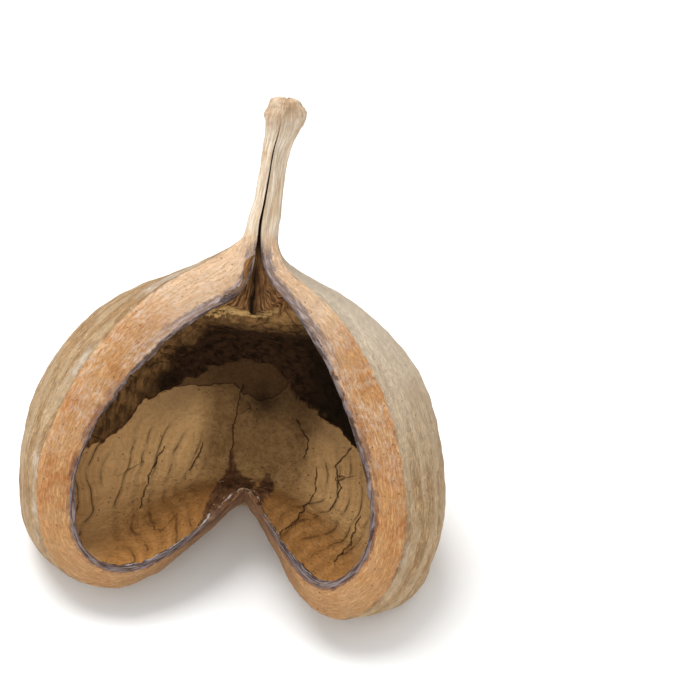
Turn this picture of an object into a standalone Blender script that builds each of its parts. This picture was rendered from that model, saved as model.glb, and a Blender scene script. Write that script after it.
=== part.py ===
"""Dried woody seed pod, split along its seam and spread into two lobes, with its stalk.

The pod grew as one piece, so it is one closed solid. Its surface is drawn through cross
sections that follow each other from the end of the stalk, down the split neck, round the
cup and up to the notch between the lobes. Each section is an open C: the outer skin, the
two faces of the rim, and the hollow side.
"""
import bpy
import bmesh
import numpy as np

MM = 0.001

# Frame of the guide lines, in millimetres: x to the side, q up along the plane of the
# rim, d back from that plane. The pod leans back on its round underside.
LEAN_DEG = 41.0
REST_CUT = 2.8

# Stalk: its axis from the knob down to the neck, and its radius at the same places.
STALK_AXIS = [(4, 116.8, 0.5), (4.2, 112.3, 1.2), (3.4, 107, 2.4), (2.2, 101, 3.6), (1.7, 91, 4.8),
              (1.1, 80.5, 5.4)]
STALK_RADIUS = [4.7, 6.3, 5.2, 4.1, 4.2, 4.9]
SLIT_HALF = [1.8, 1.6, 1.0, 0.7, 0.7, 0.7]
SLIT_DEPTH = [0.25, 0.4, 1.0, 1.8, 1.8, 1.8]

# Body guide lines, one entry for each section from the neck to the notch.
MIDLINE_X = [0.9, 0.8, 0.7, 0.5, 0.3, 0.2, 0.2, 0.3, 0.6, 1.0, 1.6, 2.2, 2.8, 3.2, 3.5]
BACK = [(71.5, 10.5), (67, 16), (61.5, 24), (54.5, 33.5), (45.5, 43), (32.5, 51.5), (18.5, 56.8),
        (3, 58.5), (-8.5, 54.5), (-11.5, 48.5), (-12, 42), (-11.5, 36), (-11, 31), (-10.5, 26.8),
        (-9.2, 23)]
EDGE_RIGHT = [(6.3, 74, 4), (10.5, 67, 1), (18.5, 62, 0), (28.5, 54.8, 0), (38.5, 43.2, 0),
              (48.5, 26.5, 0), (54.8, 8, 0), (57.4, -7, 0), (55.5, -22, 0), (49, -32.5, 0),
              (39.5, -37.2, 0.5), (28.5, -32.5, 3), (18, -21.5, 9), (9.5, -13, 17), (3.5, -9.2, 23)]
EDGE_LEFT = [(-5, 74, 4), (-10.5, 68.3, 1), (-18.5, 62.2, 0), (-28.5, 54.2, 0), (-39, 41.5, 0),
             (-49, 24.5, 0), (-55.4, 6.4, 0), (-57.4, -8.5, 0), (-54.3, -24.5, 0), (-45.5, -36, 0),
             (-33, -39.6, 0.5), (-20.5, -35, 3), (-9, -24, 9), (-1.5, -14, 17), (3.5, -9.2, 23)]
LIP_RIGHT = [(2, 73, 0.4), (4.8, 64, 0.6), (12.5, 56.5, 0.6), (21.8, 47.8, 0.6), (30.3, 36.4, 0.6),
             (39, 20.5, 0.6), (44.8, 6.4, 0.6), (46.9, -6.5, 0.6), (45.5, -16.5, 0.6), (41, -23.2, 0.6),
             (34.5, -26.3, 1.2), (26.5, -23, 3.5), (16.5, -14.5, 8.5), (8.5, -7.5, 15),
             (3.5, -4.2, 19.5)]
LIP_LEFT = [(0.9, 73, 0.4), (-0.6, 60, 0.6), (-8, 52.3, 0.6), (-17.2, 45.6, 0.6), (-28, 34.8, 0.6),
            (-37.5, 19.5, 0.6), (-43.6, 4.5, 0.6), (-45.7, -8.5, 0.6), (-43.5, -21.5, 0.6),
            (-37.5, -29.6, 0.6), (-28.5, -32, 1.2), (-18.5, -28.3, 3.5), (-7, -18, 8.5), (0, -9, 15),
            (3.5, -4.2, 19.5)]
WIDE_RIGHT = [5.4, 10, 20, 33, 46.5, 58, 65, 66.5, 62.5, 54.5, 42.5, 29, 16.5, 7, 0]
WIDE_LEFT = [5.9, 11.4, 20.5, 33.5, 49.5, 62.5, 69.5, 70.5, 66, 55.5, 41, 27, 14.5, 6.5, 0]
# How far a section bows out of its straight chord: below zero up, above zero down.
SWELL = [0, -0.5, -1.5, -2.5, -3, -2, 2, 7, 9.5, 9, 7.5, 5.5, 3.5, 1.5, 0]
DEEP = [(73, 3.2), (59, 6.5), (49.5, 10), (46, 20), (41.5, 33), (32.5, 42.5), (19.5, 48), (5.5, 49.5),
        (-3, 45.5), (-5.3, 40), (-5.6, 34.5), (-5.3, 29.5), (-5, 25.5), (-4.6, 22), (-4.2, 19.5)]
HOLLOW_RIGHT = [0.9, 4, 12.5, 25, 37.5, 49, 56.5, 58, 54.5, 47, 36.5, 25, 14, 5.8, 0]
HOLLOW_LEFT = [0.9, 5, 14, 27.5, 41, 53.5, 61, 62, 57.5, 47, 34.5, 22.5, 11.5, 5, 0]
SWELL_IN = [0, 0, -0.5, -1.5, -2.5, -1.5, 2, 6, 7.5, 7, 5.8, 4.5, 3, 1.2, 0]

# Shallow ribs across the hollow, from the rim toward the middle line.
RIB_COUNT = 13
RIB_HEIGHT = 0.45
RIM_ROUND = 1.0
STALK_FLUTE = 0.16

# Mesh steps along the pod, and on each half of a section.
STEPS_STALK = 14
STEPS_BODY = 92
STEPS_SKIN = 11
STEPS_RIM = 3
STEPS_HOLLOW = 8


def spline(values, at):
    """Natural cubic curve through evenly spaced values, read at fractional places."""
    v = np.array(values, float)
    if v.ndim == 1:
        v = v[:, None]
    n = len(v)
    m = np.eye(n)
    r = np.zeros_like(v)
    for i in range(1, n - 1):
        m[i, i - 1:i + 2] = (1, 4, 1)
        r[i] = 6 * (v[i + 1] - 2 * v[i] + v[i - 1])
    k = np.linalg.solve(m, r)
    i = np.clip(np.asarray(at).astype(int), 0, n - 2)
    f = (at - i)[:, None]
    g = 1 - f
    return g * v[i] + f * v[i + 1] + ((g**3 - g) * k[i] + (f**3 - f) * k[i + 1]) / 6


def stalk_guides():
    """Guide lines of the stalk, worked out from its axis and radius."""
    axis = np.array(STALK_AXIS, float)
    radius = np.array(STALK_RADIUS, float)[:, None]
    run = np.gradient(axis, axis=0)
    back = np.stack([run[:, 2], -run[:, 1]], 1)
    back /= np.linalg.norm(back, axis=1, keepdims=True)
    back *= np.sign(back[:, 1:])
    front = axis[:, 1:] - radius * back
    x = axis[:, :1]
    slit = np.array(SLIT_HALF, float)[:, None]
    depth = np.array(SLIT_DEPTH, float)[:, None]
    return {
        "mid": x,
        "back": axis[:, 1:] + radius * back,
        "edge_r": np.hstack([x + radius, axis[:, 1:]]),
        "edge_l": np.hstack([x - radius, axis[:, 1:]]),
        "lip_r": np.hstack([x + slit, front]),
        "lip_l": np.hstack([x - slit, front]),
        "deep": front + depth * back,
        "wide": radius,
        "slit": slit,
        "flat": np.zeros_like(x),
    }


def guides(at):
    """All guide lines read at the wanted places between the knob and the notch."""
    s = stalk_guides()
    rows = {
        "mid": (s["mid"], MIDLINE_X), "back": (s["back"], BACK), "deep": (s["deep"], DEEP),
        "edge_r": (s["edge_r"], EDGE_RIGHT), "edge_l": (s["edge_l"], EDGE_LEFT),
        "lip_r": (s["lip_r"], LIP_RIGHT), "lip_l": (s["lip_l"], LIP_LEFT),
        "wide_r": (s["wide"], WIDE_RIGHT), "wide_l": (s["wide"], WIDE_LEFT),
        "hollow_r": (s["slit"], HOLLOW_RIGHT), "hollow_l": (s["slit"], HOLLOW_LEFT),
        "swell": (s["flat"], SWELL), "swell_in": (s["flat"], SWELL_IN),
    }
    out = {}
    for name, (stalk, body) in rows.items():
        body = np.array(body, float)
        if body.ndim == 1:
            body = body[:, None]
        out[name] = spline(np.vstack([stalk, body]), at)
    return out


def half_section(steps, mid, start, edge, wide, swell, side):
    """Half a section, from the middle line of the back round one side to an edge."""
    reach = np.maximum(side * (edge[:, :1] - mid), 0)
    wide = np.maximum(wide, reach)
    limit = np.pi - np.arcsin(np.clip(reach / np.maximum(wide, 1e-6), 0, 1))
    angle = limit * np.linspace(0, 1, steps + 1)[None, :]
    share = (1 - np.cos(angle)) / (1 - np.cos(limit))
    chord = edge[:, 1:] - start
    normal = np.stack([chord[:, 1], -chord[:, 0]], 1)
    normal /= np.maximum(np.linalg.norm(normal, axis=1, keepdims=True), 1e-6)
    bump = swell * np.sin(np.pi * share)
    q = start[:, :1] + chord[:, :1] * share + normal[:, :1] * bump
    d = start[:, 1:] + chord[:, 1:] * share + normal[:, 1:] * bump
    return np.stack([mid + side * wide * np.sin(angle), q, d], -1)


def rim_face(steps, edge, lip):
    """Gently rounded face of the rim, from the outer edge to the lip."""
    v = np.linspace(0, 1, steps + 1)[None, :, None]
    face = edge[:, None] * (1 - v) + lip[:, None] * v
    face[..., 2:] -= RIM_ROUND * np.sin(np.pi * v)
    return face


def ribbed(hollow, at):
    """Hollow side with shallow ribs that fade at the lip, the middle line and the neck."""
    share = np.linspace(0, 1, hollow.shape[1])[None, :]
    place = np.clip((at - 8.5) / 8.5, 0, 1)[:, None]
    fade = np.sin(np.pi * place) ** 0.5 * np.clip(np.sin(np.pi * share), 0, 1)
    centre = np.array([0.0, 5.0, 18.0])
    inward = centre - hollow
    inward /= np.linalg.norm(inward, axis=-1, keepdims=True)
    wave = RIB_HEIGHT * fade * np.sin(2 * np.pi * RIB_COUNT * place)
    return hollow + inward * wave[..., None]


def fluted(skin, at):
    """Outer skin with fine lengthwise flutes on the stalk that fade out on the cup."""
    fade = np.clip((7.2 - at) / 1.5, 0, 1)[:, None]
    share = np.linspace(0, 1, skin.shape[1])[None, :]
    wave = STALK_FLUTE * fade * np.cos(np.pi * (skin.shape[1] - 1) * share)
    axis = (skin[:, :1] + skin[:, -1:]) / 2
    outward = skin - axis
    outward /= np.maximum(np.linalg.norm(outward, axis=-1, keepdims=True), 1e-6)
    return skin + outward * wave[..., None] * (share[..., None] > 0)


def section_loops(at):
    """One closed loop of points per section, and the half sections it is made of."""
    g = guides(at)
    halves = []
    for side, key in ((1, "r"), (-1, "l")):
        skin = half_section(STEPS_SKIN, g["mid"], g["back"], g["edge_" + key], g["wide_" + key],
                            g["swell"], side)
        skin[:, 1:-1] = fluted(skin, at)[:, 1:-1]
        hollow = half_section(STEPS_HOLLOW, g["mid"], g["deep"], g["lip_" + key], g["hollow_" + key],
                              g["swell_in"], side)
        hollow = ribbed(hollow, at)
        halves.append((skin, rim_face(STEPS_RIM, skin[:, -1], hollow[:, -1]), hollow))
    (rs, rf, rh), (ls, lf, lh) = halves
    right = [rs, rf[:, 1:-1], rh[:, ::-1]]
    left = [lh[:, 1:], lf[:, 1:-1][:, ::-1], ls[:, ::-1][:, :-1]]
    return np.concatenate(right + left, 1)


def close_knob(loop):
    """Ring that rounds off the end of the knob, and its middle point."""
    middle = (loop[0] + loop[STEPS_SKIN + STEPS_RIM + STEPS_HOLLOW]) / 2
    ring = middle + (loop - middle) * 0.72
    ring += (0, 1.3, -0.3)
    return [ring], middle + (0, 1.1, -0.25)


def stand_up(points):
    """Pod frame to upright metres: leaned back, set on the floor, centred."""
    a = np.radians(LEAN_DEG)
    x, q, d = points[:, 0], points[:, 1], points[:, 2]
    p = np.stack([x, q * np.sin(a) + d * np.cos(a), q * np.cos(a) - d * np.sin(a)], 1)
    p[:, 2] -= p[:, 2].min() + REST_CUT
    p[:, 2] = np.maximum(p[:, 2], 0)
    p[:, :2] -= (p[:, :2].min(0) + p[:, :2].max(0)) / 2
    return p * MM


def pod_mesh():
    """Points and faces of the whole pod."""
    at = np.concatenate([np.linspace(0, 6, STEPS_STALK, endpoint=False), np.linspace(6, 20, STEPS_BODY)])
    loops = section_loops(at[:-1])
    last = section_loops(at[-1:])[0]
    rings, tip = close_knob(loops[0])
    grid = np.concatenate([np.array(rings), loops])
    rows, k = grid.shape[:2]
    points = [grid.reshape(-1, 3), tip[None]]
    faces = []
    for i in range(rows - 1):
        for j in range(k):
            n = (j + 1) % k
            faces.append((i * k + j, i * k + n, (i + 1) * k + n, (i + 1) * k + j))
    for j in range(k):
        faces.append((rows * k, (j + 1) % k, j))
    # At the notch both halves of the rim meet in one short line.
    seam = last[STEPS_SKIN:STEPS_SKIN + STEPS_RIM + 1]
    base = rows * k + 1
    points.append(seam)
    right = [0] * STEPS_SKIN + list(range(STEPS_RIM)) + [STEPS_RIM] * (STEPS_HOLLOW + 1)
    left = [STEPS_RIM] * STEPS_HOLLOW + list(range(STEPS_RIM - 1, -1, -1)) + [0] * (STEPS_SKIN - 1)
    to = [base + v for v in right + left]
    row = (rows - 1) * k
    for j in range(k):
        n = (j + 1) % k
        corner = (row + j, row + n, to[n], to[j])
        faces.append(corner if to[n] != to[j] else corner[:3])
    return stand_up(np.concatenate(points)), faces


def wood_material():
    mat = bpy.data.materials.new("dry_husk")
    mat.use_nodes = True
    shader = mat.node_tree.nodes["Principled BSDF"]
    shader.inputs["Base Color"].default_value = (0.42, 0.25, 0.12, 1)
    shader.inputs["Roughness"].default_value = 0.75
    return mat


def build_pod():
    points, faces = pod_mesh()
    mesh = bpy.data.meshes.new("pod")
    mesh.from_pydata([tuple(p) for p in points], [], faces)
    mesh.materials.append(wood_material())
    bm = bmesh.new()
    bm.from_mesh(mesh)
    bmesh.ops.triangulate(bm, faces=bm.faces[:])
    bmesh.ops.recalc_face_normals(bm, faces=bm.faces[:])
    bm.to_mesh(mesh)
    bm.free()
    pod = bpy.data.objects.new("pod", mesh)
    bpy.context.scene.collection.objects.link(pod)
    return pod


for old in list(bpy.data.objects):
    bpy.data.objects.remove(old)

build_pod()
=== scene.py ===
"""Dressed model of the dried, split seed pod on a pale studio floor.

The pod's skin, rim, hollow and stalk are one closed surface. It is drawn through the same
guide sections as the solid, many times finer, and carries the grain, the torn lining, the
cracks and the wrinkles as relief. Three finishes cover it: skin, rim and hollow.
"""
import itertools
import math
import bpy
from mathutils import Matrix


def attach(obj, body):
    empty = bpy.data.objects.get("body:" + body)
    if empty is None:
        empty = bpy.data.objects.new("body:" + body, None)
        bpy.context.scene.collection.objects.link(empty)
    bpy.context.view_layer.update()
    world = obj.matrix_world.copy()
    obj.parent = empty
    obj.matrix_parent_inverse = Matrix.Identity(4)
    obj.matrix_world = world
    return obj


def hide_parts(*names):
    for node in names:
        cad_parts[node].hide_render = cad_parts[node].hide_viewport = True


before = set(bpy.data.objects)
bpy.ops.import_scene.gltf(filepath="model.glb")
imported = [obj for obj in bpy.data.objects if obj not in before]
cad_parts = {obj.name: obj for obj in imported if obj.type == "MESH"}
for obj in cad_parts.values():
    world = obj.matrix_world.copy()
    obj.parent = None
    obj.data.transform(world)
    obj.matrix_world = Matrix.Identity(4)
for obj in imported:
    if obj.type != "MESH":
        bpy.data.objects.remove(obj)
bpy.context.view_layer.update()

from types import SimpleNamespace

import bpy
import numpy as np
from mathutils import Matrix, Vector

MM = 0.001

# Guide sections, in millimetres: x to the side, q up the rim, d back from it. The first six
# stand along the stalk, from the knob to the neck, the rest along the cup, to the notch.
LEAN_DEG = 41.0
FRAME_PLACE = (1.804, -27.635, 40.972)

STALK_AXIS = [(4, 116.0, 0.5), (4.2, 112.3, 1.2), (3.4, 107, 2.4), (2.2, 101, 3.6), (1.7, 91, 4.8),
              (1.1, 80.5, 5.4)]
STALK_RADIUS = [4.7, 6.3, 5.2, 4.1, 4.2, 4.9]
SLIT_HALF = [0.1, 0.1, 0.12, 0.14, 0.18, 0.35]
SLIT_DEPTH = [0.1, 0.1, 0.8, 1.3, 1.6, 1.8]

MIDLINE_X = [0.9, 0.8, 0.7, 0.5, 0.3, 0.2, 0.2, 0.3, 0.6, 1.0, 1.6, 2.2, 2.8, 3.2, 3.5]
BACK = [(71.5, 10.5), (67, 16), (61.5, 24), (54.5, 33.5), (45.5, 43), (32.5, 51.5), (18.5, 56.8),
        (3, 58.5), (-8.5, 54.5), (-11.5, 48.5), (-12, 42), (-11.5, 36), (-11, 31), (-10.5, 26.8),
        (-9.2, 23)]
EDGE_RIGHT = [(6.3, 74, 4), (10.5, 67, 1), (18.5, 62, 0), (28.5, 54.8, 0), (38.5, 43.2, 0),
              (48.5, 26.5, 0), (54.8, 8, 0), (57.4, -7, 0), (55.5, -22, 0), (49, -32.5, 0),
              (39.5, -37.2, 0.5), (28.5, -32.5, 3), (18, -21.5, 9), (9.5, -13, 17), (3.5, -9.2, 23)]
EDGE_LEFT = [(-5, 74, 4), (-10.5, 68.3, 1), (-18.5, 62.2, 0), (-28.5, 54.2, 0), (-39, 41.5, 0),
             (-49, 24.5, 0), (-55.4, 6.4, 0), (-57.4, -8.5, 0), (-54.3, -24.5, 0), (-45.5, -36, 0),
             (-33, -39.6, 0.5), (-20.5, -35, 3), (-9, -24, 9), (-1.5, -14, 17), (3.5, -9.2, 23)]
LIP_RIGHT = [(2, 73, 0.4), (4.8, 64, 0.6), (12.5, 56.5, 0.6), (21.8, 47.8, 0.6), (30.3, 36.4, 0.6),
             (39, 20.5, 0.6), (44.8, 6.4, 0.6), (46.9, -6.5, 0.6), (45.5, -16.5, 0.6),
             (41, -23.2, 0.6), (34.5, -26.3, 1.2), (26.5, -23, 3.5), (16.5, -14.5, 8.5),
             (8.5, -7.5, 15), (3.5, -4.2, 19.5)]
LIP_LEFT = [(0.9, 73, 0.4), (-0.6, 60, 0.6), (-8, 52.3, 0.6), (-17.2, 45.6, 0.6), (-28, 34.8, 0.6),
            (-37.5, 19.5, 0.6), (-43.6, 4.5, 0.6), (-45.7, -8.5, 0.6), (-43.5, -21.5, 0.6),
            (-37.5, -29.6, 0.6), (-28.5, -32, 1.2), (-18.5, -28.3, 3.5), (-7, -18, 8.5),
            (0, -9, 15), (3.5, -4.2, 19.5)]
WIDE_RIGHT = [5.4, 10, 20, 33, 46.5, 58, 65, 66.5, 62.5, 54.5, 42.5, 29, 16.5, 7, 0]
WIDE_LEFT = [5.9, 11.4, 20.5, 33.5, 49.5, 62.5, 69.5, 70.5, 66, 55.5, 41, 27, 14.5, 6.5, 0]
SWELL = [0, -0.5, -1.5, -2.5, -3, -2, 2, 7, 9.5, 9, 7.5, 5.5, 3.5, 1.5, 0]
DEEP = [(73, 3.2), (59, 6.5), (49.5, 10), (46, 20), (41.5, 33), (32.5, 42.5), (19.5, 48),
        (5.5, 49.5), (-3, 45.5), (-5.3, 40), (-5.6, 34.5), (-5.3, 29.5), (-5, 25.5), (-4.6, 22),
        (-4.2, 19.5)]
HOLLOW_RIGHT = [0.9, 4, 12.5, 25, 37.5, 49, 56.5, 58, 54.5, 47, 36.5, 25, 14, 5.8, 0]
HOLLOW_LEFT = [0.9, 5, 14, 27.5, 41, 53.5, 61, 62, 57.5, 47, 34.5, 22.5, 11.5, 5, 0]
SWELL_IN = [0, 0, -0.5, -1.5, -2.5, -1.5, 2, 6, 7.5, 7, 5.8, 4.5, 3, 1.2, 0]
RIB_COUNT = 13
RIB_HEIGHT = 0.2
RIM_ROUND = 1.0

# Marks on the hollow side, as x and q places: torn edge of the lining, cracks, bare scars.
TORN_EDGE = [(-60, -6), (-50, 0), (-44, 6), (-38, 15.5), (-32, 19.5), (-26.6, 23), (-22, 26.5),
             (-18.5, 29.5), (-11.4, 32.3), (-4.3, 34.5), (2, 34), (6, 32.5), (8.5, 29), (9.8, 25.5),
             (14, 21.7), (21.6, 18.7), (29.4, 14.2), (34.7, 9.7), (44, 2), (60, -8)]
SECOND_TEAR = [(-60, 20), (-34, 20), (-28, 21.2), (-18.6, 23), (-13.9, 24.3), (-9, 24), (-7, 22),
               (-3, 21), (3, 22), (7, 25), (10, 30), (14, 40), (60, 40)]
CREASE = [(-7, -3), (-8.4, 1.7), (-8.9, 10.2), (-8.2, 18.3), (-6.8, 24.5)]
CRACKS = [
    CREASE[::-1],
    [(-18, 4.5), (-18.6, 0), (-20.5, -4)],
    [(20.8, 2), (22.2, -5), (20.6, -12), (16.5, -17)],
    [(38.5, -10), (38, -17), (35.5, -22)],
    [(-30, 2), (-33, -8), (-32, -17)],
    [(31, 10), (27, 4), (30, -3), (29, -9)],
    [(12, 16), (17, 10), (16, 5)],
]
SCARS = [
    [(-8.4, 4), (-6, -0.5), (-3, -3.5), (3, -4.5), (2.5, -9), (-3, -13.5), (-9, -17.5), (-9.5, -9)],
    [(5, -1.5), (8.5, -4), (10.5, -9), (15.5, -15), (13, -17), (6.5, -9), (3.5, -5)],
]

# Mesh steps along the stalk and the cup, and round half a section.
STEPS_STALK = 62
STEPS_BODY = 272
STEPS_SKIN = 42
STEPS_RIM = 16
STEPS_HOLLOW = 84
# The step at the outer edge, at the lip and at the deep line.
EDGE = STEPS_SKIN
LIP = STEPS_SKIN + STEPS_RIM
HALF = LIP + STEPS_HOLLOW

# Places along the pod, counted in guide sections.
NECK = 6
NOTCH = 20

# Width of the grain pattern over half the skin and over the rim.
GRAIN_SKIN = 95.0
GRAIN_RIM = 10.5

# Rise of the stalk's end, depth of the scar in it, and its wrinkles, in millimetres.
KNOB_RISE = 1.5
KNOB_SCAR = 0.9
KNOB_WRINKLE = 0.22
KNOB_WRINKLES = 9
KNOB_SIZES = (0.97, 0.9, 0.8, 0.69, 0.57, 0.45, 0.34, 0.24, 0.15, 0.07)


def spline(values, at):
    """Natural cubic curve through evenly spaced values, read at fractional places."""
    v = np.array(values, float)
    if v.ndim == 1:
        v = v[:, None]
    n = len(v)
    m = np.eye(n)
    r = np.zeros_like(v)
    for i in range(1, n - 1):
        m[i, i - 1:i + 2] = (1, 4, 1)
        r[i] = 6 * (v[i + 1] - 2 * v[i] + v[i - 1])
    k = np.linalg.solve(m, r)
    i = np.clip(np.asarray(at).astype(int), 0, n - 2)
    f = (at - i)[:, None]
    g = 1 - f
    return g * v[i] + f * v[i + 1] + ((g**3 - g) * k[i] + (f**3 - f) * k[i + 1]) / 6


def stalk_guides():
    """Guide lines of the stalk, worked out from its axis and radius."""
    axis = np.array(STALK_AXIS, float)
    radius = np.array(STALK_RADIUS, float)[:, None]
    run = np.gradient(axis, axis=0)
    back = np.stack([run[:, 2], -run[:, 1]], 1)
    back /= np.linalg.norm(back, axis=1, keepdims=True)
    back *= np.sign(back[:, 1:])
    front = axis[:, 1:] - radius * back
    x = axis[:, :1]
    slit = np.array(SLIT_HALF, float)[:, None]
    depth = np.array(SLIT_DEPTH, float)[:, None]
    return {
        "mid": x, "back": axis[:, 1:] + radius * back, "deep": front + depth * back,
        "edge_r": np.hstack([x + radius, axis[:, 1:]]), "edge_l": np.hstack([x - radius, axis[:, 1:]]),
        "lip_r": np.hstack([x + slit, front]), "lip_l": np.hstack([x - slit, front]),
        "wide": radius, "slit": slit, "flat": np.zeros_like(x),
    }


def guides(at):
    """All guide lines read at the wanted places between the knob and the notch."""
    s = stalk_guides()
    rows = {
        "mid": (s["mid"], MIDLINE_X), "back": (s["back"], BACK), "deep": (s["deep"], DEEP),
        "edge_r": (s["edge_r"], EDGE_RIGHT), "edge_l": (s["edge_l"], EDGE_LEFT),
        "lip_r": (s["lip_r"], LIP_RIGHT), "lip_l": (s["lip_l"], LIP_LEFT),
        "wide_r": (s["wide"], WIDE_RIGHT), "wide_l": (s["wide"], WIDE_LEFT),
        "hollow_r": (s["slit"], HOLLOW_RIGHT), "hollow_l": (s["slit"], HOLLOW_LEFT),
        "swell": (s["flat"], SWELL), "swell_in": (s["flat"], SWELL_IN),
    }
    out = {}
    for name, (stalk, body) in rows.items():
        body = np.array(body, float)
        if body.ndim == 1:
            body = body[:, None]
        out[name] = spline(np.vstack([stalk, body]), at)
    return out


def half_section(steps, mid, start, edge, wide, swell, side):
    """Half a section, from the middle line of the back round one side to an edge."""
    reach = np.maximum(side * (edge[:, :1] - mid), 0)
    wide = np.maximum(wide, reach)
    limit = np.pi - np.arcsin(np.clip(reach / np.maximum(wide, 1e-6), 0, 1))
    angle = limit * np.linspace(0, 1, steps + 1)[None, :]
    share = (1 - np.cos(angle)) / (1 - np.cos(limit))
    chord = edge[:, 1:] - start
    normal = np.stack([chord[:, 1], -chord[:, 0]], 1)
    normal /= np.maximum(np.linalg.norm(normal, axis=1, keepdims=True), 1e-6)
    bump = swell * np.sin(np.pi * share)
    q = start[:, :1] + chord[:, :1] * share + normal[:, :1] * bump
    d = start[:, 1:] + chord[:, 1:] * share + normal[:, 1:] * bump
    return np.stack([mid + side * wide * np.sin(angle), q, d], -1)


def rim_face(steps, edge, lip):
    """Gently rounded face of the rim, from the outer edge to the lip."""
    v = np.linspace(0, 1, steps + 1)[None, :, None]
    face = edge[:, None] * (1 - v) + lip[:, None] * v
    face[..., 2:] -= RIM_ROUND * np.sin(np.pi * v)
    return face


def ribbed(hollow, at):
    """Hollow side with shallow ribs that fade at the lip, the middle line and the neck."""
    share = np.linspace(0, 1, hollow.shape[1])[None, :]
    place = np.clip((at - 8.5) / 8.5, 0, 1)[:, None]
    fade = np.sin(np.pi * place) ** 0.5 * np.clip(np.sin(np.pi * share), 0, 1)
    inward = np.array([0.0, 5.0, 18.0]) - hollow
    inward /= np.linalg.norm(inward, axis=-1, keepdims=True)
    wave = RIB_HEIGHT * fade * np.sin(2 * np.pi * RIB_COUNT * place)
    return hollow + inward * wave[..., None]


# Smooth random fields.
def random_tables(seed):
    rng = np.random.default_rng(seed)
    slopes = rng.normal(size=(256, 3))
    slopes /= np.linalg.norm(slopes, axis=1, keepdims=True)
    return rng.permutation(256), slopes


def drift(p, seed=1):
    """Smooth random value, roughly -1 to 1, at each point."""
    order, slopes = random_tables(seed)
    cell = np.floor(p).astype(int)
    f = p - cell
    ease = f * f * f * (f * (f * 6 - 15) + 10)
    total = np.zeros(p.shape[:-1])
    for corner in itertools.product((0, 1), repeat=3):
        c = np.array(corner)
        pick = order[(cell[..., 0] + c[0]) & 255]
        pick = order[(pick + cell[..., 1] + c[1]) & 255]
        pick = order[(pick + cell[..., 2] + c[2]) & 255]
        weight = np.prod(np.where(c, ease, 1 - ease), axis=-1)
        total += weight * ((f - c) * slopes[pick]).sum(-1)
    return total * 1.7


def rough(p, layers=3, seed=1):
    """Several layers of drift, each finer and weaker."""
    total = 0
    for i in range(layers):
        total = total + drift(p * 2.03**i, seed + i) / 1.9**i
    return total


def smoothstep(lo, hi, v):
    t = np.clip((v - lo) / (hi - lo), 0, 1)
    return t * t * (3 - 2 * t)


def bell(v, middle, width):
    return np.exp(-(((v - middle) / width) ** 2))


def line_distance(x, q, points):
    """Distance in millimetres from each place to a broken line."""
    best = np.full(x.shape, 1e3)
    for (ax, aq), (bx, bq) in zip(points[:-1], points[1:]):
        ux, uq = bx - ax, bq - aq
        t = np.clip(((x - ax) * ux + (q - aq) * uq) / (ux * ux + uq * uq), 0, 1)
        best = np.minimum(best, np.hypot(x - ax - t * ux, q - aq - t * uq))
    return best


def inside_distance(x, q, points):
    """Distance to a closed outline, above zero inside it."""
    loop = points + points[:1]
    inside = np.zeros(x.shape, bool)
    for (ax, aq), (bx, bq) in zip(loop[:-1], loop[1:]):
        crosses = (aq > q) != (bq > q)
        span = bq - aq if abs(bq - aq) > 1e-9 else 1e-9
        inside ^= crosses & (x < ax + (q - aq) * (bx - ax) / span)
    return np.where(inside, 1, -1) * line_distance(x, q, loop)


# The pod's surface.
def half_pod(at, side, key):
    """Points and place values of one half, from the back line over the rim to the deep line."""
    g = guides(at)
    skin = half_section(STEPS_SKIN, g["mid"], g["back"], g["edge_" + key], g["wide_" + key],
                        g["swell"], side)
    hollow = half_section(STEPS_HOLLOW, g["mid"], g["deep"], g["lip_" + key], g["hollow_" + key],
                          g["swell_in"], side)
    hollow = ribbed(hollow, at)
    rim = rim_face(STEPS_RIM, skin[:, -1], hollow[:, -1])
    p = np.concatenate([skin, rim[:, 1:-1], hollow[:, ::-1]], axis=1)
    step = np.linalg.norm(np.diff(p, axis=1), axis=-1)
    around = np.concatenate([np.zeros((len(at), 1)), np.cumsum(step, axis=1)], axis=1)
    from_edge = around - around[:, EDGE:EDGE + 1]
    share = np.empty(around.shape)
    share[:, :EDGE + 1] = np.linspace(0, 1, STEPS_SKIN + 1)
    share[:, EDGE:LIP + 1] = np.linspace(0, 1, STEPS_RIM + 1)
    share[:, LIP:] = np.linspace(1, 0, STEPS_HOLLOW + 1)
    across = share * GRAIN_SKIN
    across[:, EDGE:LIP] = GRAIN_SKIN + share[:, EDGE:LIP] * GRAIN_RIM
    across[:, LIP:] = share[:, LIP:] * (GRAIN_SKIN + GRAIN_RIM)
    return {
        "p": p,
        "edge_mm": from_edge,
        "lip_mm": around - around[:, LIP:LIP + 1],
        "across": side * across,
        "share": share,
        "rim_share": np.clip(from_edge / np.maximum(from_edge[:, LIP:LIP + 1], 1e-6), 0, 1),
        "side": np.full(around.shape, float(side)),
    }


def join_halves(right, left):
    """Closed rings from two halves that share the back line and the deep line."""
    return {k: np.concatenate([right[k], left[k][:, ::-1][:, 1:-1]], axis=1) for k in right}


def ring_normals(p):
    """Outward normals of the ringed surface."""
    around = np.roll(p, -1, axis=1) - np.roll(p, 1, axis=1)
    along = np.gradient(p, axis=0)
    n = np.cross(around, along)
    return n / np.maximum(np.linalg.norm(n, axis=-1, keepdims=True), 1e-9)


def settle_edges(p, zone, rounds=3):
    """Rounds the corner between skin and rim a little."""
    corner = np.clip(1.2 - np.abs(zone["edge_mm"]) / 1.6, 0, 1)[..., None] * 0.5
    for _ in range(rounds):
        mean = (np.roll(p, 1, axis=1) + np.roll(p, -1, axis=1)) / 2
        p = p + (mean - p) * corner
    return p


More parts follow.
